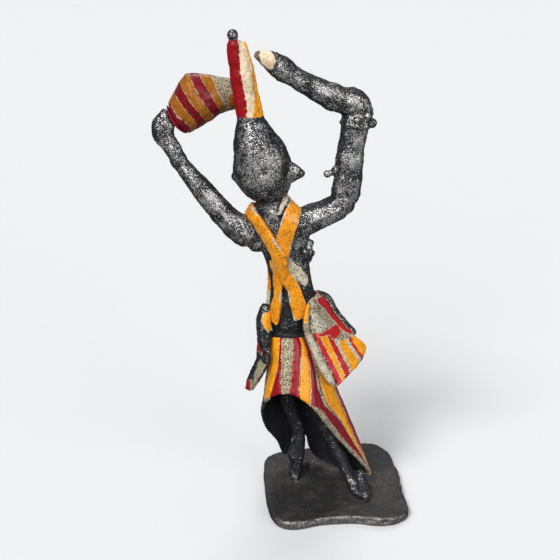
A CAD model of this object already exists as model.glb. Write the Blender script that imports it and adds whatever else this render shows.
"""Looks of the dancing drummer, a hand-painted cast-metal figurine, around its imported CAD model.

The CAD nodes give every place and size. Their copies are fused or thickened here into rough cast
skins, which stand for the nodes, and paint is laid on the skins by signed distances in millimetres.
Lengths named in this script are in millimetres unless a comment says otherwise; MM turns them into
Blender's metres. The dancer faces +Y, so the camera sees the back, and left and right are the
dancer's as seen from there: left is towards -X.
"""

import math

import bmesh
import bpy
import numpy as np
from mathutils import Matrix, Vector, kdtree, noise
from mathutils.bvhtree import BVHTree


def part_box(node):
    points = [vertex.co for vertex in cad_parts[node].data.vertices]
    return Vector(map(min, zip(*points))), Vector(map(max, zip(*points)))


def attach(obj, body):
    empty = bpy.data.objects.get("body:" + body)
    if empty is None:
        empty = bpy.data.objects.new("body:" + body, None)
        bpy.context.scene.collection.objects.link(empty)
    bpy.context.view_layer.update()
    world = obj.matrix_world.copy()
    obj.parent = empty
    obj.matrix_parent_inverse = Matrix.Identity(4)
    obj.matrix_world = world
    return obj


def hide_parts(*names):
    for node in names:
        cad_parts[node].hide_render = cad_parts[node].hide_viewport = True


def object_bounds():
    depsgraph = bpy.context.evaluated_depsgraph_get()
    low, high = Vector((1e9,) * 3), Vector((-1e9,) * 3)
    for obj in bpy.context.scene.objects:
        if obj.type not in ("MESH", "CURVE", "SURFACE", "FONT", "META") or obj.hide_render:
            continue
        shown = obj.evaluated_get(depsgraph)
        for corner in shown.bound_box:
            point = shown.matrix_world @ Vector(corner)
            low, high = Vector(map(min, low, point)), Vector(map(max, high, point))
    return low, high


MM = 0.001
BODY = "root"
WELD = 0.01 * MM

# A paint outline's value where its coat lies on the whole skin, and where it lies nowhere.
EVERYWHERE = 5.0
NOWHERE = -5.0

# A swelling of this height wears as bright as one unit of "worn".
PROUD = 0.35

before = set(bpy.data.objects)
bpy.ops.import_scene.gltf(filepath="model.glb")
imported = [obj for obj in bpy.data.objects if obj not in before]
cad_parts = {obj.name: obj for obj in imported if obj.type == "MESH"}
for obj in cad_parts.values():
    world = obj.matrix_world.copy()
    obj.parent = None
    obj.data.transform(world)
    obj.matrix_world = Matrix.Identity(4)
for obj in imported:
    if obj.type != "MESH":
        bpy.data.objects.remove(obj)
CAD_LOW, CAD_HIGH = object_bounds()


# ---------------------------------------------------------------- camera, floor and light

CAMERA_PLACE = (-0.0564, -0.4507, 0.2576)
CAMERA_TURN = (69.5, 0.0, -4.5)
CAMERA_LENS = 83.57
CAMERA_SENSOR = 36.0
CAMERA_REACH = (0.01, 20.0)

FLOOR_RADIUS = 6.0
FLOOR_GAP = 0.05
FLOOR_SHADES = ((0.640, 0.646, 0.655), (0.652, 0.658, 0.667))

SKY_COLOUR = (0.93, 0.96, 1.0, 1.0)
SKY_STRENGTH = 0.20

# Each sun's name, the direction it shines from, its strength and its width in degrees.
SUNS = (
    ("key", (-0.55, -0.60, 1.05), 1.98, 18),
    ("softbox", (-0.34, -0.92, 0.62), 1.90, 34),
    ("back", (0.12, 0.80, 0.95), 1.00, 32),
    ("right_fill", (0.80, -1.00, 0.40), 1.15, 40),
)


def add_camera():
    camera = bpy.data.objects.new("camera", bpy.data.cameras.new("camera"))
    camera.data.lens = CAMERA_LENS
    camera.data.sensor_width = CAMERA_SENSOR
    camera.data.clip_start, camera.data.clip_end = CAMERA_REACH
    camera.location = CAMERA_PLACE
    camera.rotation_euler = [math.radians(angle) for angle in CAMERA_TURN]
    bpy.context.scene.collection.objects.link(camera)
    bpy.context.scene.camera = camera


def add_floor():
    """A wide pale disc just under the plate."""
    bm = bmesh.new()
    bmesh.ops.create_circle(bm, cap_ends=True, segments=96, radius=FLOOR_RADIUS)
    mesh = bpy.data.meshes.new("floor")
    bm.to_mesh(mesh)
    bm.free()
    floor = bpy.data.objects.new("floor", mesh)
    floor.location.z = CAD_LOW.z - FLOOR_GAP * MM
    bpy.context.scene.collection.objects.link(floor)
    graph = Graph("pale_floor")
    graph.set("Base Color", graph.mix(graph.noise(0.02, 2.0), *FLOOR_SHADES))
    graph.shader.inputs["Roughness"].default_value = 0.9
    graph.shader.inputs["Specular IOR Level"].default_value = 0.1
    mesh.materials.append(graph.material)
    # The black casting stays black only if the bright floor neither lights it nor mirrors in it.
    floor.visible_diffuse = False
    floor.visible_glossy = False


def add_sun(name, place, strength, spread):
    lamp = bpy.data.lights.new(name, "SUN")
    lamp.energy = strength
    lamp.angle = math.radians(spread)
    obj = bpy.data.objects.new(name, lamp)
    obj.location = place
    obj.rotation_euler = (-Vector(place)).to_track_quat("-Z", "Y").to_euler()
    bpy.context.scene.collection.objects.link(obj)


def add_light():
    world = bpy.data.worlds.new("studio")
    world.use_nodes = True
    sky = world.node_tree.nodes["Background"]
    sky.inputs["Color"].default_value = SKY_COLOUR
    sky.inputs["Strength"].default_value = SKY_STRENGTH
    bpy.context.scene.world = world
    bpy.context.scene.view_settings.view_transform = "Standard"
    for sun in SUNS:
        add_sun(*sun)


# ---------------------------------------------------------------- shader graphs

class Graph:
    """A material whose patterns are read in millimetres in the object's own coordinates."""

    # The Mix node's sockets for its two colours and for its two numbers.
    COLOURS = (6, 7)
    NUMBERS = (2, 3)

    def __init__(self, name):
        self.material = bpy.data.materials.new(name)
        self.material.use_nodes = True
        self.tree = self.material.node_tree
        self.shader = self.tree.nodes["Principled BSDF"]
        where = self.tree.nodes.new("ShaderNodeTexCoord")
        scale = self.tree.nodes.new("ShaderNodeVectorMath")
        scale.operation = "SCALE"
        scale.inputs["Scale"].default_value = 1.0 / MM
        self.tree.links.new(where.outputs["Object"], scale.inputs[0])
        self.place = scale.outputs[0]

    def feed(self, socket, value):
        """Links a socket to a node's output, or sets it to a number or a colour."""
        if isinstance(value, bpy.types.NodeSocket):
            self.tree.links.new(value, socket)
        elif isinstance(value, tuple):
            socket.default_value = (*value, 1.0)
        else:
            socket.default_value = value

    def set(self, name, value):
        self.feed(self.shader.inputs[name], value)

    def math(self, operation, a, b):
        node = self.tree.nodes.new("ShaderNodeMath")
        node.operation = operation
        self.feed(node.inputs[0], a)
        self.feed(node.inputs[1], b)
        return node.outputs[0]

    def add(self, a, b):
        return self.math("ADD", a, b)

    def times(self, a, b):
        return self.math("MULTIPLY", a, b)

    def less(self, a, b):
        """A less b."""
        return self.math("SUBTRACT", a, b)

    def step(self, value, low, high):
        """0 below low, 1 above high, smooth between."""
        node = self.tree.nodes.new("ShaderNodeMapRange")
        node.interpolation_type = "SMOOTHSTEP"
        node.inputs["From Min"].default_value = low
        node.inputs["From Max"].default_value = high
        self.feed(node.inputs["Value"], value)
        return node.outputs["Result"]

    def noise(self, scale, detail=2.0, roughness=0.5, warp=0.0):
        """Noise from 0 to 1 with so many cells a millimetre."""
        node = self.tree.nodes.new("ShaderNodeTexNoise")
        node.inputs["Scale"].default_value = scale
        node.inputs["Detail"].default_value = detail
        node.inputs["Roughness"].default_value = roughness
        node.inputs["Distortion"].default_value = warp
        self.tree.links.new(self.place, node.inputs["Vector"])
        return node.outputs["Fac"]

    def attribute(self, name):
        node = self.tree.nodes.new("ShaderNodeAttribute")
        node.attribute_name = name
        return node.outputs["Fac"]

    def mixer(self, kind, share, sockets, a, b):
        node = self.tree.nodes.new("ShaderNodeMix")
        node.data_type = kind
        self.feed(node.inputs["Factor"], share)
        for socket, value in zip(sockets, (a, b)):
            self.feed(node.inputs[socket], value)
        return node

    def mix(self, share, a, b):
        """A colour between two colours."""
        return self.mixer("RGBA", share, self.COLOURS, a, b).outputs[2]

    def multiply(self, colour, factor):
        """A colour times another colour."""
        node = self.mixer("RGBA", 1.0, self.COLOURS, colour, factor)
        node.blend_type = "MULTIPLY"
        return node.outputs[2]

    def blend(self, share, a, b):
        """A number between two numbers."""
        return self.mixer("FLOAT", share, self.NUMBERS, a, b).outputs[0]

    def ramp(self, value, colours):
        """Flat colours, one for each unit of the value."""
        node = self.tree.nodes.new("ShaderNodeValToRGB")
        ramp = node.color_ramp
        ramp.interpolation = "CONSTANT"
        for i, colour in enumerate(colours):
            stop = ramp.elements[i] if i < 2 else ramp.elements.new(1.0)
            stop.position = i / len(colours)
            stop.color = (*colour, 1.0)
        self.feed(node.inputs["Fac"], self.math("DIVIDE", value, float(len(colours))))
        return node.outputs["Color"]

    def bump(self, height, distance):
        node = self.tree.nodes.new("ShaderNodeBump")
        node.inputs["Distance"].default_value = distance * MM
        self.feed(node.inputs["Height"], height)
        self.set("Normal", node.outputs["Normal"])


# ---------------------------------------------------------------- paints

# Linear colours.
RED = (0.26, 0.0045, 0.0085)
CRIMSON = (0.22, 0.006, 0.014)
ORANGE = (0.80, 0.31, 0.008)
CREAM = (0.44, 0.37, 0.24)
IVORY = (0.70, 0.56, 0.38)
PALE = (0.56, 0.51, 0.39)
SILVER = (0.70, 0.685, 0.665)
AMBER = (0.78, 0.29, 0.008)
SCARLET = (0.44, 0.012, 0.014)
DRUM_RED = (0.175, 0.0045, 0.0085)
DRUM_ORANGE = (0.33, 0.110, 0.007)
TAN = (0.24, 0.18, 0.12)
SOOT = (0.0075, 0.0077, 0.0095)

# How much of a paint is worn or pitted away, from 0 to 1.
WEAR = {
    SOOT: 0.0,
    RED: 0.16,
    CRIMSON: 0.22,
    ORANGE: 0.24,
    AMBER: 0.36,
    SCARLET: 0.18,
    DRUM_RED: 0.30,
    DRUM_ORANGE: 0.32,
    TAN: 0.60,
    CREAM: 0.55,
    IVORY: 0.24,
    PALE: 0.42,
}

# What a coat's colour is multiplied by where it is stained, and where it is bleached.
STAINED = (0.42, 0.36, 0.34)
BLEACHED = (1.55, 1.55, 1.50)

# Half of the width over which a coat fades out at its edge.
FADE = 0.05

# The level of noise above which the casting's bright grains show, and how fast they set in.
GRAIN_LEVEL = 0.60
GRAIN_EDGE = 0.04


class Ground:
    """The bare ground of every piece: black paint on a sand casting, worn through to bright grains.

    The skin's attribute "worn" is about 0 on a plain face, and above 0 where it is rubbed brighter.
    """

    def __init__(self, graph, dark, bright, grains, tint):
        worn = graph.attribute("worn")
        fine = graph.noise(2.0, 3.0, 0.68, 0.3)
        broad = graph.less(graph.noise(0.17, 2.0, 0.5), 0.5)
        level = graph.add(fine, graph.times(broad, 0.27))
        level = graph.add(level, graph.times(worn, 0.10))
        limit = GRAIN_LEVEL - grains
        self.grain = graph.step(level, limit, limit + GRAIN_EDGE)
        soot = graph.noise(0.7, 3.0, 0.6)
        self.black = graph.mix(soot, dark, tuple(2.0 * part for part in dark))
        patches = graph.times(graph.step(graph.noise(0.14, 3.0, 0.6), 0.45, 0.62), 0.6)
        self.black = graph.mix(patches, self.black, tint)
        shine = graph.step(graph.noise(2.6, 2.0, 0.6), 0.36, 0.64)
        metal = graph.mix(shine, tuple(0.16 * part for part in bright), bright)
        self.colour = graph.mix(self.grain, self.black, metal)
        self.rough = graph.blend(self.grain, 0.50, 0.36)
        self.metal = graph.times(self.grain, 0.65)
        self.height = graph.add(fine, graph.times(soot, 0.8))


class Paint:
    """Coats laid over the ground one after another, each inside the line where its distance is 0."""

    def __init__(self, graph):
        self.graph = graph
        self.cover = 0.0
        self.colour = PALE
        self.wear = 0.3
        ragged = graph.less(graph.noise(0.9, 3.0, 0.6), 0.5)
        fringe = graph.less(graph.noise(3.2, 2.0, 0.6), 0.5)
        coarse = graph.times(ragged, 1.3)
        self.jitter = graph.add(coarse, graph.times(fringe, 0.5))

    def lay(self, mask, colour, wear):
        graph = self.graph
        self.colour = graph.mix(mask, self.colour, colour)
        self.wear = graph.blend(mask, self.wear, wear)
        self.cover = graph.math("MAXIMUM", self.cover, mask)

    def patch(self, name, colour, outline=0.0):
        """A coat where the attribute is above 0, with a pale outline of that width."""
        graph = self.graph
        distance = graph.add(graph.attribute(name), self.jitter)
        if outline:
            self.lay(graph.step(distance, -outline - FADE, -outline + FADE), PALE, 0.2)
        self.lay(graph.step(distance, -FADE, FADE), colour, WEAR[colour])

    def stripes(self, name, colours, within=None, line=0.10):
        """Bands of colour, each a unit of the attribute, parted by thin uneven pale lines."""
        graph = self.graph
        width = graph.attribute(name + "_width")
        shift = graph.math("DIVIDE", graph.times(self.jitter, 0.50), width)
        unit = graph.add(graph.attribute(name), shift)
        inside = graph.step(unit, -0.02, 0.02)
        if within:
            start = graph.add(graph.attribute(within), self.jitter)
            inside = graph.times(inside, graph.step(start, -FADE, FADE))
        wear = [(WEAR[colour],) * 3 for colour in colours]
        self.lay(inside, graph.ramp(unit, colours), graph.ramp(unit, wear))
        apart = graph.times(graph.math("PINGPONG", unit, 0.5), width)
        uneven = graph.less(graph.noise(0.5, 2.0, 0.6), 0.40)
        edge = graph.math("LESS_THAN", apart, graph.times(uneven, line * 8.0))
        self.lay(graph.times(edge, inside), PALE, 0.45)


def weathered(graph, paint):
    """The paint's colour with its stains and its bleached spots."""
    stains = graph.step(graph.noise(0.42, 3.0, 0.62), 0.42, 0.70)
    depth = graph.times(stains, graph.add(0.14, graph.times(paint.wear, 0.75)))
    coat = graph.mix(depth, paint.colour, graph.multiply(paint.colour, STAINED))
    spots = graph.step(graph.noise(0.33, 3.0, 0.6, 0.4), 0.48, 0.72)
    light = graph.times(graph.times(spots, paint.wear), 0.8)
    return graph.mix(light, coat, graph.multiply(coat, BLEACHED))


def finish_skin(name, coats=None, dark=SOOT, bright=SILVER, grains=0.047, tint=(0.017, 0.016, 0.018),
                gloss=0.27, relief=0.20, specular=0.20):
    """A painted casting. Coats is a function that lays paint on the ground, and gloss its roughness."""
    graph = Graph(name)
    ground = Ground(graph, dark, bright, grains, tint)
    colour, rough, metal = ground.colour, ground.rough, ground.metal
    height = graph.times(ground.height, 0.7)
    if coats:
        paint = Paint(graph)
        coats(paint)
        pits = graph.add(graph.noise(2.1, 3.0, 0.65), graph.times(paint.wear, 0.30))
        bare = graph.step(pits, 0.68, 0.73)
        colour = graph.mix(paint.cover, colour, weathered(graph, paint))
        colour = graph.mix(graph.times(bare, paint.cover), colour, ground.black)
        cover = graph.times(paint.cover, graph.less(1.0, bare))
        rough = graph.blend(cover, rough, graph.blend(graph.noise(0.8, 2.0), gloss - 0.07, gloss + 0.13))
        metal = graph.times(metal, graph.less(1.0, paint.cover))
        height = graph.times(height, graph.less(1.0, graph.times(cover, 0.55)))
        height = graph.add(height, graph.times(cover, 0.7))
    graph.set("Base Color", colour)
    graph.set("Roughness", rough)
    graph.set("Metallic", metal)
    graph.shader.inputs["Specular IOR Level"].default_value = specular
    graph.bump(height, relief)
    return graph.material


# ---------------------------------------------------------------- skins from CAD shapes

def add_mesh(bm, source):
    """Moves a bmesh's shape into another bmesh."""
    mesh = bpy.data.meshes.new("copy")
    source.to_mesh(mesh)
    source.free()
    bm.from_mesh(mesh)
    bpy.data.meshes.remove(mesh)


def cad_copy(node):
    """A welded copy of a CAD node's mesh."""
    part = bmesh.new()
    part.from_mesh(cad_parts[node].data)
    bmesh.ops.remove_doubles(part, verts=part.verts, dist=WELD)
    part.normal_update()
    return part


def add_node(bm, node, grow):
    """Adds a copy of a CAD node, grown outwards."""
    part = cad_copy(node)
    for vertex in part.verts:
        vertex.co += vertex.normal * grow * MM
    add_mesh(bm, part)


def add_blob(bm, centre, radii):
    """Adds an ellipsoid."""
    part = bmesh.new()
    bmesh.ops.create_icosphere(part, subdivisions=3, radius=1.0)
    size = Matrix.Diagonal((*(Vector(radii) * MM), 1.0))
    matrix = Matrix.Translation(Vector(centre) * MM) @ size
    bmesh.ops.transform(part, matrix=matrix, verts=part.verts)
    add_mesh(bm, part)


def skin(name, bm, voxel, soften):
    """One closed skin round all the shapes, of that voxel size, softened that many times."""
    mesh = bpy.data.meshes.new(name)
    bm.to_mesh(mesh)
    bm.free()
    obj = bpy.data.objects.new(name, mesh)
    bpy.context.scene.collection.objects.link(obj)
    remesh = obj.modifiers.new("skin", "REMESH")
    remesh.mode = "VOXEL"
    remesh.voxel_size = voxel * MM
    smooth = obj.modifiers.new("soften", "SMOOTH")
    smooth.factor = 0.5
    smooth.iterations = soften
    evaluated = obj.evaluated_get(bpy.context.evaluated_depsgraph_get())
    final = bpy.data.meshes.new_from_object(evaluated)
    obj.modifiers.clear()
    obj.data = final
    final.name = name
    bpy.data.meshes.remove(mesh)
    final.shade_smooth()
    return obj


def places(obj):
    """The vertices in millimetres, one row each."""
    flat = np.empty(len(obj.data.vertices) * 3)
    obj.data.vertices.foreach_get("co", flat)
    return flat.reshape(-1, 3) / MM


def normals(obj):
    """The vertices' normals, one row each."""
    flat = np.empty(len(obj.data.vertices) * 3)
    obj.data.vertices.foreach_get("normal", flat)
    return flat.reshape(-1, 3)


def move_to(obj, points):
    obj.data.vertices.foreach_set("co", (points * MM).astype(np.float32).ravel())
    obj.data.update()


def noise_at(points, scale, seed=0.0):
    """Smooth noise from about -1 to 1 at each point, with so many cells a millimetre."""
    shifted = points * scale + seed
    return np.array([noise.noise(point) for point in shifted.tolist()])


def roughen(obj, broad, fine, share=1.0):
    """Swells and pits the skin by noise: broad hammering and a fine sand-cast grain.

    Returns each vertex's swelling. Share is how much of it each vertex takes.
    """
    points, out = places(obj), normals(obj)
    height = broad * noise_at(points, 0.22, 7.0) + 0.5 * broad * noise_at(points, 0.5, 3.0)
    height += fine * noise_at(points, 1.3, 11.0)
    height *= share
    move_to(obj, points + out * height[:, None])
    return height


def node_skin(name, node, grow, voxel, soften, broad, fine):
    """A rough skin of one CAD node, and each vertex's swelling."""
    bm = bmesh.new()
    add_node(bm, node, grow)
    obj = skin(name, bm, voxel, soften)
    return obj, roughen(obj, broad, fine)


def ridge(distance, width):
    """1 on a line and nearly 0 a width away from it."""
    return np.exp(-(distance / width) ** 2)


def put(obj, name, values):
    """Writes one number a vertex, for the materials to read."""
    attribute = obj.data.attributes.new(name, "FLOAT", "POINT")
    attribute.data.foreach_set("value", values.astype(np.float32))


# The share of Y in a normal at which a face turns from an edge into a broad side.
BROAD = 0.62


def rubbed(obj, height):
    """How brightly each vertex is worn: more on high spots and on the broad back and front faces."""
    broadside = np.abs(normals(obj)[:, 1]) - BROAD
    return height / PROUD + 1.5 * broadside


def nearest_part(obj, groups):
    """The number of the group of CAD nodes nearest to each face's middle."""
    middles = np.array([face.center for face in obj.data.polygons])
    away = []
    for nodes in groups:
        part = bmesh.new()
        for node in nodes:
            add_mesh(part, cad_copy(node))
        tree = BVHTree.FromBMesh(part)
        away.append([tree.find_nearest(middle)[3] for middle in middles])
        part.free()
    return np.argmin(np.array(away), axis=0)


SETTLING_ROUNDS = 6


def settle(bm, owner):
    """Gives each stray face to its neighbours' group, until the groups' borders are calm."""
    for _ in range(SETTLING_ROUNDS):
        votes = []
        for face in bm.faces:
            beside = [other for edge in face.edges for other in edge.link_faces if other != face]
            around = [owner[other.index] for other in beside]
            mine = around.count(owner[face.index])
            best = max(set(around), key=around.count)
            votes.append(best if around.count(best) > max(mine, 1) else owner[face.index])
        owner[:] = votes


def piece_of(obj, name, chosen, kept):
    """The chosen faces as a closed piece. Its seams keep the whole skin's normals."""
    bm = bmesh.new()
    bm.from_mesh(obj.data)
    start = bm.verts.layers.int.new("start")
    for vertex in bm.verts:
        vertex[start] = vertex.index
    bm.faces.ensure_lookup_table()
    spare = [bm.faces[i] for i in np.flatnonzero(~chosen)]
    bmesh.ops.delete(bm, geom=spare, context="FACES")
    rim = [edge for edge in bm.edges if edge.is_boundary]
    caps = bmesh.ops.holes_fill(bm, edges=rim, sides=0)["faces"]
    bmesh.ops.triangulate(bm, faces=caps)
    surface = int(chosen.sum())
    bm.faces.ensure_lookup_table()
    bm.faces.index_update()
    first = [vertex[start] for vertex in bm.verts]
    mesh = bpy.data.meshes.new(name)
    bm.to_mesh(mesh)
    bm.free()
    mesh.shade_smooth()
    split = []
    for face in mesh.polygons:
        cap = face.index >= surface
        split += [face.normal.copy() if cap else kept[first[i]] for i in face.vertices]
    mesh.normals_split_custom_set(split)
    piece = bpy.data.objects.new(name, mesh)
    bpy.context.scene.collection.objects.link(piece)
    return piece


def split_skin(obj, groups):
    """Cuts a skin into closed pieces, one for each name and its CAD nodes. Seams stay invisible."""
    owner = nearest_part(obj, list(groups.values()))
    bm = bmesh.new()
    bm.from_mesh(obj.data)
    settle(bm, owner)
    bm.free()
    kept = [tuple(row) for row in normals(obj).tolist()]
    pieces = {name: piece_of(obj, name, owner == i, kept) for i, name in enumerate(groups)}
    bpy.data.objects.remove(obj, do_unlink=True)
    return pieces


# ---------------------------------------------------------------- painted outlines

def inside(flat, corners):
    """Signed distance to a closed outline in a plane, above 0 inside it."""
    corners = np.array(corners, float)
    nearest = np.full(len(flat), 1e9)
    crossings = np.zeros(len(flat), int)
    for a, b in zip(corners, np.roll(corners, -1, axis=0)):
        edge, offset = b - a, flat - a
        share = np.clip(offset @ edge / (edge @ edge), 0.0, 1.0)
        nearest = np.minimum(nearest, np.linalg.norm(offset - share[:, None] * edge, axis=1))
        spans = (a[1] > flat[:, 1]) != (b[1] > flat[:, 1])
        rise = edge[1] if edge[1] else 1e-9
        crossings += spans & (flat[:, 0] < a[0] + edge[0] * (flat[:, 1] - a[1]) / rise)
    return np.where(crossings % 2 == 1, nearest, -nearest)


def seen_from_back(points):
    """X and Z of each point."""
    return points[:, [0, 2]]


# A list of bands, such as CAP_LINES, holds each band's colour and the line where that band starts. A
# line is a list of (height, place) points, and each band ends where the next one starts.

def colours_of(bands):
    return [colour for colour, _ in bands]


def lines_of(bands, end):
    """Where each band starts, and where the last one ends."""
    return [line for _, line in bands] + [end]


def follow(heights, line):
    """The place of a line at each height."""
    line = sorted(line)
    return np.interp(heights, [h for h, _ in line], [v for _, v in line])


def band_units(values, heights, lines):
    """Which band each value lies in, as a running number, and that band's width."""
    edges = np.array([follow(heights, line) for line in lines])
    edges = np.maximum.accumulate(edges, axis=0)
    index = np.clip((values >= edges).sum(axis=0) - 1, 0, len(lines) - 2)
    column = np.arange(len(values))
    low, high = edges[index, column], edges[index + 1, column]
    width = np.maximum(high - low, 1e-6)
    unit = index + np.clip((values - low) / width, -0.5, 1.5)
    return unit, np.maximum(width, 0.05)


# Edges sharper than this many degrees are a piece's rim, which is marked out by points so far apart.
RIM_ANGLE = 50.0
RIM_SPACING = 0.4


def rim_tree(node, top=math.inf):
    """A tree of points along the sharp rims of a CAD node, up to a height."""
    part = cad_copy(node)
    points = []
    for edge in part.edges:
        if edge.calc_face_angle(0.0) < math.radians(RIM_ANGLE):
            continue
        a, b = edge.verts[0].co / MM, edge.verts[1].co / MM
        count = max(1, math.ceil((b - a).length / RIM_SPACING))
        points += [a.lerp(b, i / count) for i in range(count + 1)]
    part.free()
    points = [point for point in points if point.z < top]
    tree = kdtree.KDTree(len(points))
    for i, point in enumerate(points):
        tree.insert(point, i)
    tree.balance()
    return tree


def distance_to(tree, points):
    """Each point's distance to the nearest of a tree's points."""
    return np.array([tree.find(point)[2] for point in points.tolist()])


# ---------------------------------------------------------------- handing pieces over

def hand_over(obj, material, slot, *nodes):
    """Gives a piece its material, and has it stand for its CAD nodes."""
    obj.data.materials.clear()
    obj.data.materials.append(material)
    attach(obj, BODY)
    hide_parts(*nodes)


# ---------------------------------------------------------------- body casting

# The cast figure's pieces, and the CAD nodes that each stands for.
FIGURE = {
    "torso_casting": ("torso",),
    "head_casting": ("head",),
    "right_ear_casting": ("right_ear",),
    "left_ear_casting": ("left_ear",),
    "left_upper_arm_casting": ("left_upper_arm",),
    "left_forearm_casting": ("left_forearm",),
    "left_hand_casting": ("left_hand",),
    "right_shoulder_casting": ("right_shoulder",),
    "right_upper_arm_casting": ("right_upper_arm", "right_armlet", "armlet_knot"),
    "arm_charm_casting": ("arm_charm",),
    "right_elbow_casting": ("right_elbow",),
    "right_forearm_casting": ("right_forearm",),
    "right_hand_casting": ("right_hand",),
    "left_leg_casting": ("left_leg",),
    "left_foot_casting": ("left_foot",),
    "right_leg_casting": ("right_leg",),
    "right_foot_casting": ("right_foot",),
    "cap_casting": ("cap_core", "cap_ridge_left", "cap_ridge_right"),
    "cap_knob": ("cap_tip",),
}

# How far a node's copy grows, where the fused skin would otherwise bridge a gap or bury a strap.
FIGURE_GROW = {
    "torso": 0.05, "cap_ridge_right": -0.40, "cap_core": -0.05, "right_hand": -0.10,
    "right_armlet": -0.45, "armlet_knot": 0.10, "left_forearm": 0.50,
}

# Lumps of the casting that the CAD's plain members leave out: centre, then radii.
LUMPS = (
    ((-29.4, 0.2, 103.4), (3.6, 3.4, 3.8)),
    ((-17.8, -0.4, 66.6), (7.3, 6.3, 2.3)),
    ((2.6, -0.6, 158.8), (2.8, 2.4, 2.2)),
    ((7.6, -1.2, 156.2), (2.6, 2.6, 2.4)),
    ((9.4, -0.8, 152.4), (2.6, 2.6, 2.2)),
    ((-11.0, -0.8, 99.6), (2.2, 3.0, 4.6)),
    ((-9.9, -1.6, 103.4), (1.3, 1.5, 1.2)),
    ((11.2, -0.5, 147.2), (1.7, 1.7, 1.7)),
    ((10.6, -0.6, 150.9), (1.7, 1.7, 1.8)),
    ((-14.9, 1.9, 15.5), (2.8, 2.7, 5.0)),
    ((8.8, -15.0, 5.6), (2.3, 2.8, 1.9)),
    ((-55.6, 4.5, 131.6), (3.0, 3.0, 3.0)),
    ((-57.3, 5.5, 134.4), (2.8, 2.8, 2.6)),
    ((-60.6, 7.5, 139.8), (3.1, 3.1, 3.1)),
    ((1.8, 0.0, 118.2), (5.0, 4.9, 4.6)),
    ((7.0, 0.0, 151.2), (4.9, 4.7, 4.4)),
    ((0.8, 0.0, 156.2), (4.9, 4.8, 4.8)),
    ((-16.2, -0.1, 164.9), (3.9, 3.7, 3.7)),
    ((-37.4, -1.0, 179.8), (2.15, 2.0, 1.8)),
    ((-22.6, -3.2, 171.4), (1.7, 1.8, 2.6)),
    ((-19.2, -2.6, 169.2), (1.7, 2.2, 2.4)),
    ((-31.4, -0.2, 150.4), (5.0, 4.4, 2.0)),
    ((4.0, -4.0, 153.6), (1.5, 1.4, 1.5)),
    ((7.8, -4.3, 153.4), (1.6, 1.4, 1.5)),
    ((10.0, -3.3, 150.6), (1.4, 1.4, 1.6)),
    ((6.2, -4.6, 149.6), (1.6, 1.4, 1.4)),
    ((3.0, -4.2, 147.8), (1.3, 1.3, 1.5)),
    ((-11.6, -3.0, 163.4), (1.5, 1.5, 1.3)),
)

# The cap's stripes: their colours, and where each one starts: (height, x).
CAP_LINES = (
    (RED, ((150, -60), (180, -60))),
    (IVORY, ((152, -32.6), (156, -32.8), (162, -34.0), (168, -35.0), (173, -35.0), (178, -35.6))),
    (ORANGE, ((152, -30.8), (158, -30.2), (164, -30.7), (168, -31.0), (173, -32.5), (178, -34.2))),
)
CAP_END = ((150, 0), (180, 0))
CAP_FOOT = 151.2
CAP_TOP = 178.4

# Patches of paint on the figure's back, seen from the back.
PALE_HAND = ((-28.2, 174.8), (-24.2, 174.2), (-22.6, 171.4), (-24.0, 168.0), (-26.6, 168.4),
             (-28.0, 170.4))
TAN_FINGERTIP = ((-32.0, 176.0), (-28.2, 176.0), (-27.4, 168.0), (-32.0, 168.0))
RUBBED_BACK = ((-18.4, 100.0), (-15.6, 96.6), (-13.4, 94.6), (-11.4, 91.8), (-10.6, 88.8),
               (-12.4, 87.4), (-15.4, 91.0), (-18.6, 95.4))
ORANGE_SIDE = ((-29.0, 97.0), (-21.6, 97.0), (-20.6, 86.0), (-21.4, 76.0), (-29.0, 73.0))

# Spots that are rubbed brightest: centre, then radius.
BRIGHT_SPOTS = (
    ((-31.0, -9.0, 130.5), 7.0),
    ((5.8, -4.5, 137.0), 6.0),
    ((-5.0, -4.0, 160.0), 4.5),
    ((7.0, -4.0, 155.0), 3.5),
    ((-1.0, -4.5, 115.0), 4.5),
    ((9.4, -15.5, 7.0), 2.5),
)


def bright_spots(points):
    """How much brighter the spots are worn, from 0 to about 1."""
    share = np.zeros(len(points))
    for centre, radius in BRIGHT_SPOTS:
        share += ridge(np.linalg.norm(points - np.array(centre), axis=1), radius)
    return share


def figure_coats(paint):
    paint.patch("tip_paint", TAN)
    paint.patch("hand_paint", IVORY)
    paint.patch("rub_paint", PALE)
    paint.patch("side_paint", ORANGE)


def cap_coats(paint):
    paint.stripes("stripe", colours_of(CAP_LINES), within="above", line=0.02)


def figure():
    """The cast figure: one rough skin, cut into its members where the CAD nodes meet."""
    bm = bmesh.new()
    for nodes in FIGURE.values():
        for node in nodes:
            add_node(bm, node, FIGURE_GROW.get(node, 0.26))
    for centre, radii in LUMPS:
        add_blob(bm, centre, radii)
    obj = skin("figure", bm, 0.42, 4)
    height = roughen(obj, 0.34, 0.13)
    points = places(obj)
    worn = rubbed(obj, height)
    hips = np.clip((94.0 - points[:, 2]) / 8.0, 0.0, 1.0)
    feet = points[:, 2] < 13.0
    put(obj, "worn", worn - 1.1 * hips + 0.4 * feet + 0.75 * bright_spots(points))
    paint_figure(obj, points)
    pieces = split_skin(obj, FIGURE)
    cast = finish_skin("black_cast", figure_coats)
    enamel = finish_skin("cap_enamel", cap_coats)
    finishes = {"cap_casting": (enamel, "cream_enamel"), "cap_knob": (cast, "bare_metal")}
    for name, nodes in FIGURE.items():
        material, slot = finishes.get(name, (cast, "black_cast"))
        hand_over(pieces[name], material, slot, *nodes)


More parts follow.
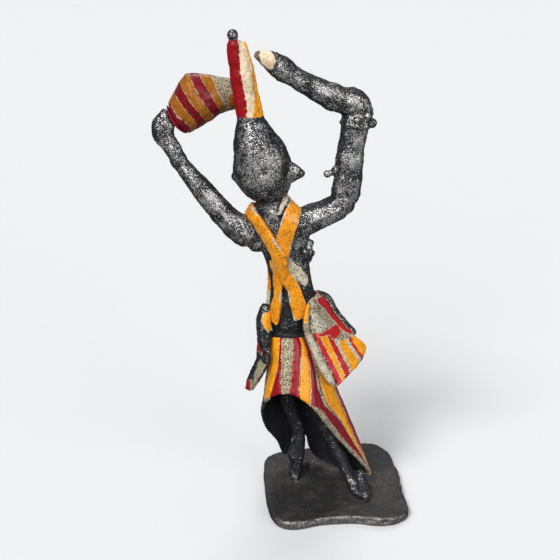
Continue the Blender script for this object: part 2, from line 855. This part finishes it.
def paint_figure(obj, points):
    """Lays out the cap's stripes and the patches of paint on the hand, the back and the side."""
    flat = seen_from_back(points)
    hand = inside(flat, PALE_HAND)
    fingertip = inside(flat, TAN_FINGERTIP)
    rub = inside(flat, RUBBED_BACK)
    side = inside(flat, ORANGE_SIDE)
    put(obj, "hand_paint", np.where(points[:, 1] < 0.6, hand, NOWHERE))
    put(obj, "tip_paint", fingertip - 3.0 * (points[:, 0] < -31.0))
    put(obj, "rub_paint", np.where(points[:, 1] < 0.0, rub, NOWHERE))
    put(obj, "side_paint", np.where(points[:, 1] < -1.5, side, NOWHERE))
    unit, width = band_units(points[:, 0], points[:, 2], lines_of(CAP_LINES, CAP_END))
    put(obj, "stripe", unit)
    put(obj, "stripe_width", np.minimum(width, 5.0))
    put(obj, "above", np.minimum(points[:, 2] - CAP_FOOT, CAP_TOP - points[:, 2]))


# ---------------------------------------------------------------- base

# Swellings of the plate's top: centre, then radii.
MOUNDS = (
    ((-12.0, 3.0, 3.4), (6.5, 5.0, 1.7)),
    ((-7.5, 9.0, 3.2), (6.0, 5.0, 1.3)),
    ((9.6, -12.0, 3.3), (4.4, 6.0, 1.3)),
    ((0.0, -1.0, 2.9), (12.0, 2.6, 1.2)),
    ((-18.0, -24.0, 2.7), (7.0, 4.0, 1.2)),
    ((17.0, -25.0, 2.7), (7.0, 4.0, 1.2)),
)


# The plate's front edge, chipped and worn to bare metal, lies before this Y.
BASE_FRONT = -24.0


def base():
    """The plate, with a rough top, a chipped bright front edge and a flat underside."""
    bm = bmesh.new()
    add_node(bm, "base_plate", 0.0)
    for centre, radii in MOUNDS:
        add_blob(bm, centre, radii)
    obj = skin("base_casting", bm, 0.50, 3)
    points, out = places(obj), normals(obj)
    low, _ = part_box("base_plate")
    lift = np.clip((points[:, 2] - low.z / MM - 0.6) / 1.5, 0.0, 1.0)
    height = roughen(obj, 0.34, 0.12, lift)
    front = np.clip(-out[:, 1] * 2.0 - 0.4, 0.0, 1.0) * (points[:, 1] < BASE_FRONT)
    chips = np.minimum(0.9 * noise_at(points, 0.45, 31.0) + 0.3 * noise_at(points, 1.2, 37.0), 0.1)
    move_to(obj, places(obj) + out * (front * lift * chips)[:, None])
    put(obj, "worn", height / PROUD + 2.6 * front)
    material = finish_skin("base_cast", dark=(0.0150, 0.0145, 0.0142), bright=(0.34, 0.32, 0.30),
                           grains=-0.05, tint=(0.048, 0.039, 0.034), relief=0.30)
    hand_over(obj, material, "base_brown", "base_plate")


# ---------------------------------------------------------------- skirt

# X and Y of the skirt's middle.
SKIRT_AXIS = (-17.8, -0.4)

# The skirt's stripes: their colours, and where each one starts: (height, degrees round the middle).
SKIRT_LINES = (
    (RED, ((66, -186), (40, -186))),
    (CREAM, ((66, -174), (40, -176))),
    (ORANGE, ((66, -160), (40, -168))),
    (RED, ((66, -123), (58, -118), (49, -127), (40, -135))),
    (CREAM, ((66, -114), (58, -111), (49, -106.5))),
    (RED, ((66, -82), (58, -87.5), (49, -93))),
    (ORANGE, ((66, -58), (58, -71), (49, -78.5))),
    (CRIMSON, ((66, -45), (58, -51), (49, -59), (44, -64))),
    (CREAM, ((66, -34), (58, -38.5), (49, -45), (42.5, -42), (36, -25.5), (31, -19.7), (14, -9))),
    (ORANGE, ((66, -24), (58, -31), (49, -38), (42, -35.5), (36, -23), (31, -19.2), (14, -8.8))),
    (CREAM, ((66, -6), (49, -10.5), (42, -14.5), (34, -13), (25, -11.9), (14, -8))),
    (RED, ((66, -3), (49, -7), (42, -12), (34, -12), (25, -11.7), (14, -7.5))),
    (CREAM, ((66, 0), (49, -3), (42, -6), (34, -3), (25, 0), (14, 3))),
    (ORANGE, ((66, 12), (14, 12))),
    (RED, ((66, 34), (14, 26))),
    (CREAM, ((66, 52), (14, 44))),
    (ORANGE, ((66, 70), (14, 60))),
    (RED, ((66, 92), (14, 80))),
    (CREAM, ((66, 112), (14, 100))),
    (ORANGE, ((66, 132), (14, 124))),
    (RED, ((66, 152), (14, 146))),
)

# Where the skirt's left side is left unpainted, seen from the back.
BARE_HEM = ((-44.0, 47.0), (-31.0, 46.0), (-28.0, 43.0), (-20.0, 36.0), (-20.0, 5.0), (-44.0, 5.0))

# The skirt's rims below this height are its hem, and the rest its waist.
HEM_TOP = 55.0


def skirt_coats(paint):
    paint.stripes("stripe", colours_of(SKIRT_LINES), within="outer")
    paint.patch("hem", CREAM)


def skirt():
    """The striped sheet, grooved where two stripes meet, with a cream hem and a black inside."""
    obj, height = node_skin("skirt_cloth", "skirt", 0.0, 0.42, 3, 0.20, 0.09)
    points, out = places(obj), normals(obj)
    across, along = points[:, 0] - SKIRT_AXIS[0], points[:, 1] - SKIRT_AXIS[1]
    radius = np.hypot(across, along)
    angle = np.degrees(np.arctan2(along, across))
    start = follow(points[:, 2], SKIRT_LINES[0][1])
    turned = np.where(angle < start, angle + 360.0, angle)
    turned = np.where(turned >= start + 360.0, turned - 360.0, turned)
    end = [(height_at, degrees + 360.0) for height_at, degrees in SKIRT_LINES[0][1]]
    unit, width = band_units(turned, points[:, 2], lines_of(SKIRT_LINES, end))
    width = width * np.radians(1.0) * radius
    put(obj, "stripe", unit)
    put(obj, "stripe_width", width)
    outward = (out[:, 0] * across + out[:, 1] * along) / np.maximum(radius, 0.1)
    groove = ridge(np.abs(unit - np.round(unit)) * width, 0.5) * (outward > 0.3)
    move_to(obj, points - out * (0.28 * groove)[:, None])
    put(obj, "worn", np.where(outward < 0.1, height / PROUD - 1.2, height / PROUD))
    bare = inside(seen_from_back(points), BARE_HEM)
    put(obj, "outer", np.minimum((outward - 0.02) * 3.0, -bare))
    hem = distance_to(rim_tree("skirt", HEM_TOP), points)
    slope = np.clip((points[:, 0] + 11.0) / 5.0, 0.0, 1.0)
    strip = slope * np.clip(2.0 - 0.045 * (points[:, 0] + 6.0), 0.9, 2.0)
    left = (0.7 + 1.2 * noise_at(points, 0.35, 41.0)) * (points[:, 0] < -25.5)
    hem_paint = np.where(points[:, 1] < 5.0, np.maximum(strip, left) - hem, NOWHERE)
    put(obj, "hem", np.minimum(hem_paint, 0.4 - bare))
    enamel = finish_skin("skirt_stripes", skirt_coats, gloss=0.22, specular=0.36)
    hand_over(obj, enamel, "striped_enamel", "skirt")


# ---------------------------------------------------------------- hip cloths

# The right flap's stripes: their colours, and where each one starts: (height, x).
FLAP_LINES = (
    (PALE, ((82, -20), (50, -20))),
    (SCARLET, ((72, -10.2), (51.5, -0.7))),
    (ORANGE, ((70, -7.4), (52, 1.4))),
    (SCARLET, ((70, -4.6), (53, 2.8))),
    (PALE, ((66, -1.0), (55, 4.5))),
    (ORANGE, ((63.4, 1.3), (55, 5.3))),
    (PALE, ((63.6, 3.9), (56.5, 8.7))),
    (SCARLET, ((63.6, 5.1), (57, 9.5))),
    (ORANGE, ((63, 6.2), (57.4, 10.2))),
)
FLAP_END = ((82, 40), (50, 40))

# Where the right flap's stripes stop at the top: X, and the height there.
FLAP_TOP = ((-10, -4, 0, 2, 8, 13), (70.8, 69.6, 66.4, 64.8, 64.6, 66.4))

# Patches of paint on the right flap, seen from the back.
FLAP_PATCH = ((-8.0, 69.8), (-3.9, 70.0), (-2.2, 70.4), (1.3, 70.6), (2.2, 68.0), (0.6, 66.2),
              (-1.6, 66.4), (-3.0, 68.2), (-7.0, 68.9))
FLAP_BAND = ((-7.6, 82.6), (-4.2, 81.6), (-0.6, 76.6), (0.8, 73.2), (6.4, 66.8), (6.2, 65.2),
             (2.6, 68.0), (-1.4, 73.0), (-4.7, 77.8), (-7.1, 80.6))
FLAP_CORNER = ((-11.2, 81.4), (-10.4, 80.0), (-11.4, 75.0), (-14.0, 74.4), (-14.0, 79.0))
FLAP_WHITE = ((-9.4, 78.6), (-6.6, 76.0), (-2.6, 71.2), (-8.2, 70.2), (-9.6, 74.0))

# The crease below the right flap's rolled top edge, seen from the back.
FLAP_CREASE = ((-8.4, 79.6), (-5.9, 76.2), (-1.5, 70.9), (3.0, 67.2))


def to_line(flat, points):
    """Distance to an open line in a plane."""
    points = np.array(points, float)
    nearest = np.full(len(flat), 1e9)
    for a, b in zip(points, points[1:]):
        edge, offset = b - a, flat - a
        share = np.clip(offset @ edge / (edge @ edge), 0.0, 1.0)
        nearest = np.minimum(nearest, np.linalg.norm(offset - share[:, None] * edge, axis=1))
    return nearest


def flap_coats(paint):
    paint.patch("ground", CREAM)
    paint.patch("white", PALE)
    paint.stripes("stripe", colours_of(FLAP_LINES), within="below", line=0.12)
    paint.patch("patch", SCARLET, 0.15)
    paint.patch("band", SCARLET, 0.2)
    paint.patch("corner", ORANGE, 0.15)
    paint.patch("seam", SOOT)


def right_flap():
    """The sash's right end: a rolled pale edge on the left, a crease, and stripes below it."""
    bm = bmesh.new()
    add_node(bm, "right_hip_flap", 0.05)
    obj = skin("right_flap_cloth", bm, 0.36, 3)
    points, out = places(obj), normals(obj)
    height = roughen(obj, 0.22, 0.09)
    strip = follow(points[:, 2], FLAP_LINES[1][1]) - points[:, 0]
    crease = to_line(seen_from_back(points), FLAP_CREASE)
    behind = np.clip(-out[:, 1] * 1.6, 0.0, 1.0)
    relief = 0.80 * ridge(strip - 2.0, 1.4) - 0.55 * ridge(strip, 0.45) - 0.45 * ridge(crease, 0.45)
    move_to(obj, places(obj) + out * (relief * behind)[:, None])
    put(obj, "worn", height / PROUD)
    points = places(obj)
    flat = seen_from_back(points)
    unit, width = band_units(points[:, 0], points[:, 2], lines_of(FLAP_LINES, FLAP_END))
    put(obj, "stripe", unit)
    put(obj, "stripe_width", width * 0.9)
    put(obj, "below", np.interp(points[:, 0], *FLAP_TOP) - points[:, 2])
    put(obj, "ground", np.full(len(points), EVERYWHERE))
    put(obj, "seam", 0.22 - np.abs(strip) - 1.5 * (1.0 - behind))
    put(obj, "patch", inside(flat, FLAP_PATCH))
    put(obj, "band", inside(flat, FLAP_BAND))
    put(obj, "corner", inside(flat, FLAP_CORNER))
    put(obj, "white", inside(flat, FLAP_WHITE))
    enamel = finish_skin("right_flap_stripes", flap_coats, gloss=0.22, specular=0.36)
    hand_over(obj, enamel, "striped_enamel", "right_hip_flap")


def sash_roll():
    """The sash's rolled right edge, red on its inner side."""
    obj, height = node_skin("sash_roll_cloth", "right_sash_roll", 0.1, 0.35, 3, 0.20, 0.09)
    put(obj, "worn", rubbed(obj, height))
    out = normals(obj)
    put(obj, "inner", (0.15 - out[:, 0] * 0.9 - out[:, 2] * 0.1) * 2.5)
    paint = finish_skin("sash_roll_paint", lambda paint: paint.patch("inner", RED, 0.15))
    hand_over(obj, paint, "red_enamel", "right_sash_roll")


ROLL_MARK = ((-27.4, 77.2), (-24.6, 77.6), (-24.2, 72.4), (-25.6, 70.4), (-27.0, 71.8), (-28.2, 74.6))


def left_roll():
    """The sash's rolled left edge, black with one orange mark."""
    obj, height = node_skin("left_roll_cloth", "left_sash_roll", -0.05, 0.36, 4, 0.30, 0.10)
    put(obj, "worn", rubbed(obj, height) - 0.9)
    points = places(obj)
    mark = inside(seen_from_back(points), ROLL_MARK)
    put(obj, "mark", np.where(points[:, 1] < -2.0, mark, NOWHERE))
    paint = finish_skin("left_roll_paint", lambda paint: paint.patch("mark", ORANGE, 0.2))
    hand_over(obj, paint, "black_cast", "left_sash_roll")


# Patches of paint on the left flap's back, in the order in which they are laid: outline, colour and
# the width of a pale line round it.
LEFT_MARKS = {
    "mark": (((-30.2, 64.8), (-27.8, 64.4), (-28.2, 60.4), (-30.4, 60.6)), RED, 0.2),
    "streak": (((-28.6, 58.6), (-26.8, 58.0), (-29.4, 52.6), (-31.0, 50.2), (-31.4, 52.0)), CREAM, 0.0),
    "tip_pale": (((-32.8, 50.0), (-30.2, 52.4), (-29.6, 50.0), (-30.8, 46.4), (-32.6, 46.0)), CREAM, 0.0),
    "tip_red": (((-35.4, 48.6), (-32.9, 50.0), (-32.6, 47.2), (-33.2, 44.0), (-35.8, 44.4)), RED, 0.0),
}


def left_flap():
    """The sash's left end, black with a few marks of paint."""
    obj, height = node_skin("left_flap_cloth", "left_hip_flap", -0.45, 0.36, 4, 0.30, 0.11)
    put(obj, "worn", rubbed(obj, height) - 0.6)
    points = places(obj)
    for name, (outline, _, _) in LEFT_MARKS.items():
        mark = inside(seen_from_back(points), outline)
        put(obj, name, np.where(points[:, 1] < 2.0, mark, NOWHERE))

    def coats(paint):
        for name, (_, colour, line) in LEFT_MARKS.items():
            paint.patch(name, colour, line)

    hand_over(obj, finish_skin("left_flap_paint", coats), "black_cast", "left_hip_flap")


# ---------------------------------------------------------------- straps and collar

def strap_coats(paint):
    paint.patch("all", PALE)
    paint.patch("middle", AMBER)


def strap(name, node, material):
    """A body strap, orange with uneven pale borders."""
    obj, height = node_skin(name, node, 0.32, 0.34, 3, 0.14, 0.07)
    put(obj, "worn", height / PROUD)
    edge = distance_to(rim_tree(node), places(obj))
    border = 0.20 + 0.9 * noise_at(places(obj), 0.16, 5.0)
    put(obj, "middle", edge - np.maximum(border, -0.5))
    put(obj, "all", np.full(len(edge), EVERYWHERE))
    hand_over(obj, material, "orange_enamel", node)


def straps():
    enamel = finish_skin("strap_enamel", strap_coats, gloss=0.17, specular=0.55)
    strap("under_strap", "strap_under", enamel)
    strap("over_strap", "strap_over", enamel)


def scarf():
    """The pale strip of collar, worn to black along its edges."""
    obj, height = node_skin("scarf_strip", "neck_scarf", 0.1, 0.30, 3, 0.22, 0.12)
    put(obj, "worn", height / PROUD)
    edge = distance_to(rim_tree("neck_scarf"), places(obj))
    put(obj, "all", edge - 0.25 + 0.9 * noise_at(places(obj), 0.5, 2.0))
    enamel = finish_skin("scarf_enamel", lambda paint: paint.patch("all", PALE))
    hand_over(obj, enamel, "cream_enamel", "neck_scarf")


def beads():
    obj, height = node_skin("bead_strand", "bead_string", 0.1, 0.32, 2, 0.12, 0.08)
    put(obj, "worn", rubbed(obj, height))
    hand_over(obj, finish_skin("bead_cast"), "black_cast", "bead_string")


# ---------------------------------------------------------------- drum

# The drum's stripes: their colours, and where each one starts: (height, x).
DRUM_LINES = (
    (DRUM_RED, ((145, -90), (165, -90))),
    (DRUM_ORANGE, ((146, -52.2), (150, -57.0), (154, -59.7), (160, -62.4))),
    (DRUM_RED, ((147.8, -50.6), (152.5, -54.4), (157.5, -58.1), (162, -60.8))),
    (DRUM_ORANGE, ((147.8, -46.9), (154.8, -52.2), (161, -56.1), (165, -58.0))),
    (DRUM_RED, ((150, -44.5), (156.4, -48.7), (163.4, -52.4))),
    (DRUM_ORANGE, ((151, -41.6), (157.5, -45.2), (163.7, -48.9))),
    (CREAM, ((152.6, -40.1), (157.3, -42.2), (163, -44.6))),
    (DRUM_ORANGE, ((152, -38.8), (157, -39.2), (158.5, -36.0), (163, -30.0))),
)
DRUM_END = ((145, 0), (165, 0))


def drum_coats(paint):
    paint.stripes("stripe", colours_of(DRUM_LINES), line=0.06)


def drum():
    obj, height = node_skin("drum_casting", "drum_shell", 0.1, 0.40, 3, 0.24, 0.10)
    put(obj, "worn", height / PROUD)
    points = places(obj)
    unit, width = band_units(points[:, 0], points[:, 2], lines_of(DRUM_LINES, DRUM_END))
    put(obj, "stripe", unit)
    put(obj, "stripe_width", np.minimum(width, 6.0) * 0.85)
    enamel = finish_skin("drum_stripes", drum_coats, gloss=0.24, specular=0.30)
    hand_over(obj, enamel, "striped_enamel", "drum_shell")


# The red rim's inner radius, as a share of the whole drum skin's.
RIM_START = 0.62


def drum_skin_coats(paint):
    paint.patch("all", CREAM)
    paint.patch("rim", CRIMSON)


def drum_skin(name, node):
    """A drum's end: a cream disc with a red rim."""
    obj, height = node_skin(name, node, -0.25, 0.35, 2, 0.16, 0.07)
    put(obj, "worn", height / PROUD)
    points = places(obj)
    middle = (points.max(axis=0) + points.min(axis=0)) / 2
    away = np.linalg.norm(points - middle, axis=1)
    put(obj, "all", np.full(len(height), EVERYWHERE))
    put(obj, "rim", away - RIM_START * away.max())
    hand_over(obj, finish_skin(name + "_enamel", drum_skin_coats), "cream_enamel", node)


# ---------------------------------------------------------------- pins

def pins():
    """The foot pins keep their CAD shape: they are buried in the casting."""
    metal = finish_skin("pin_metal", grains=0.2)
    for node in ("left_foot_pin", "right_foot_pin"):
        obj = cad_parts[node]
        obj.data.materials.clear()
        obj.data.materials.append(metal)


# ---------------------------------------------------------------- assembly


def build():
    add_camera()
    add_floor()
    add_light()
    figure()
    base()
    skirt()
    right_flap()
    sash_roll()
    left_roll()
    left_flap()
    straps()
    scarf()
    beads()
    drum()
    drum_skin("wide_drum_skin", "drum_head_wide")
    drum_skin("narrow_drum_skin", "drum_head_narrow")
    pins()


build()
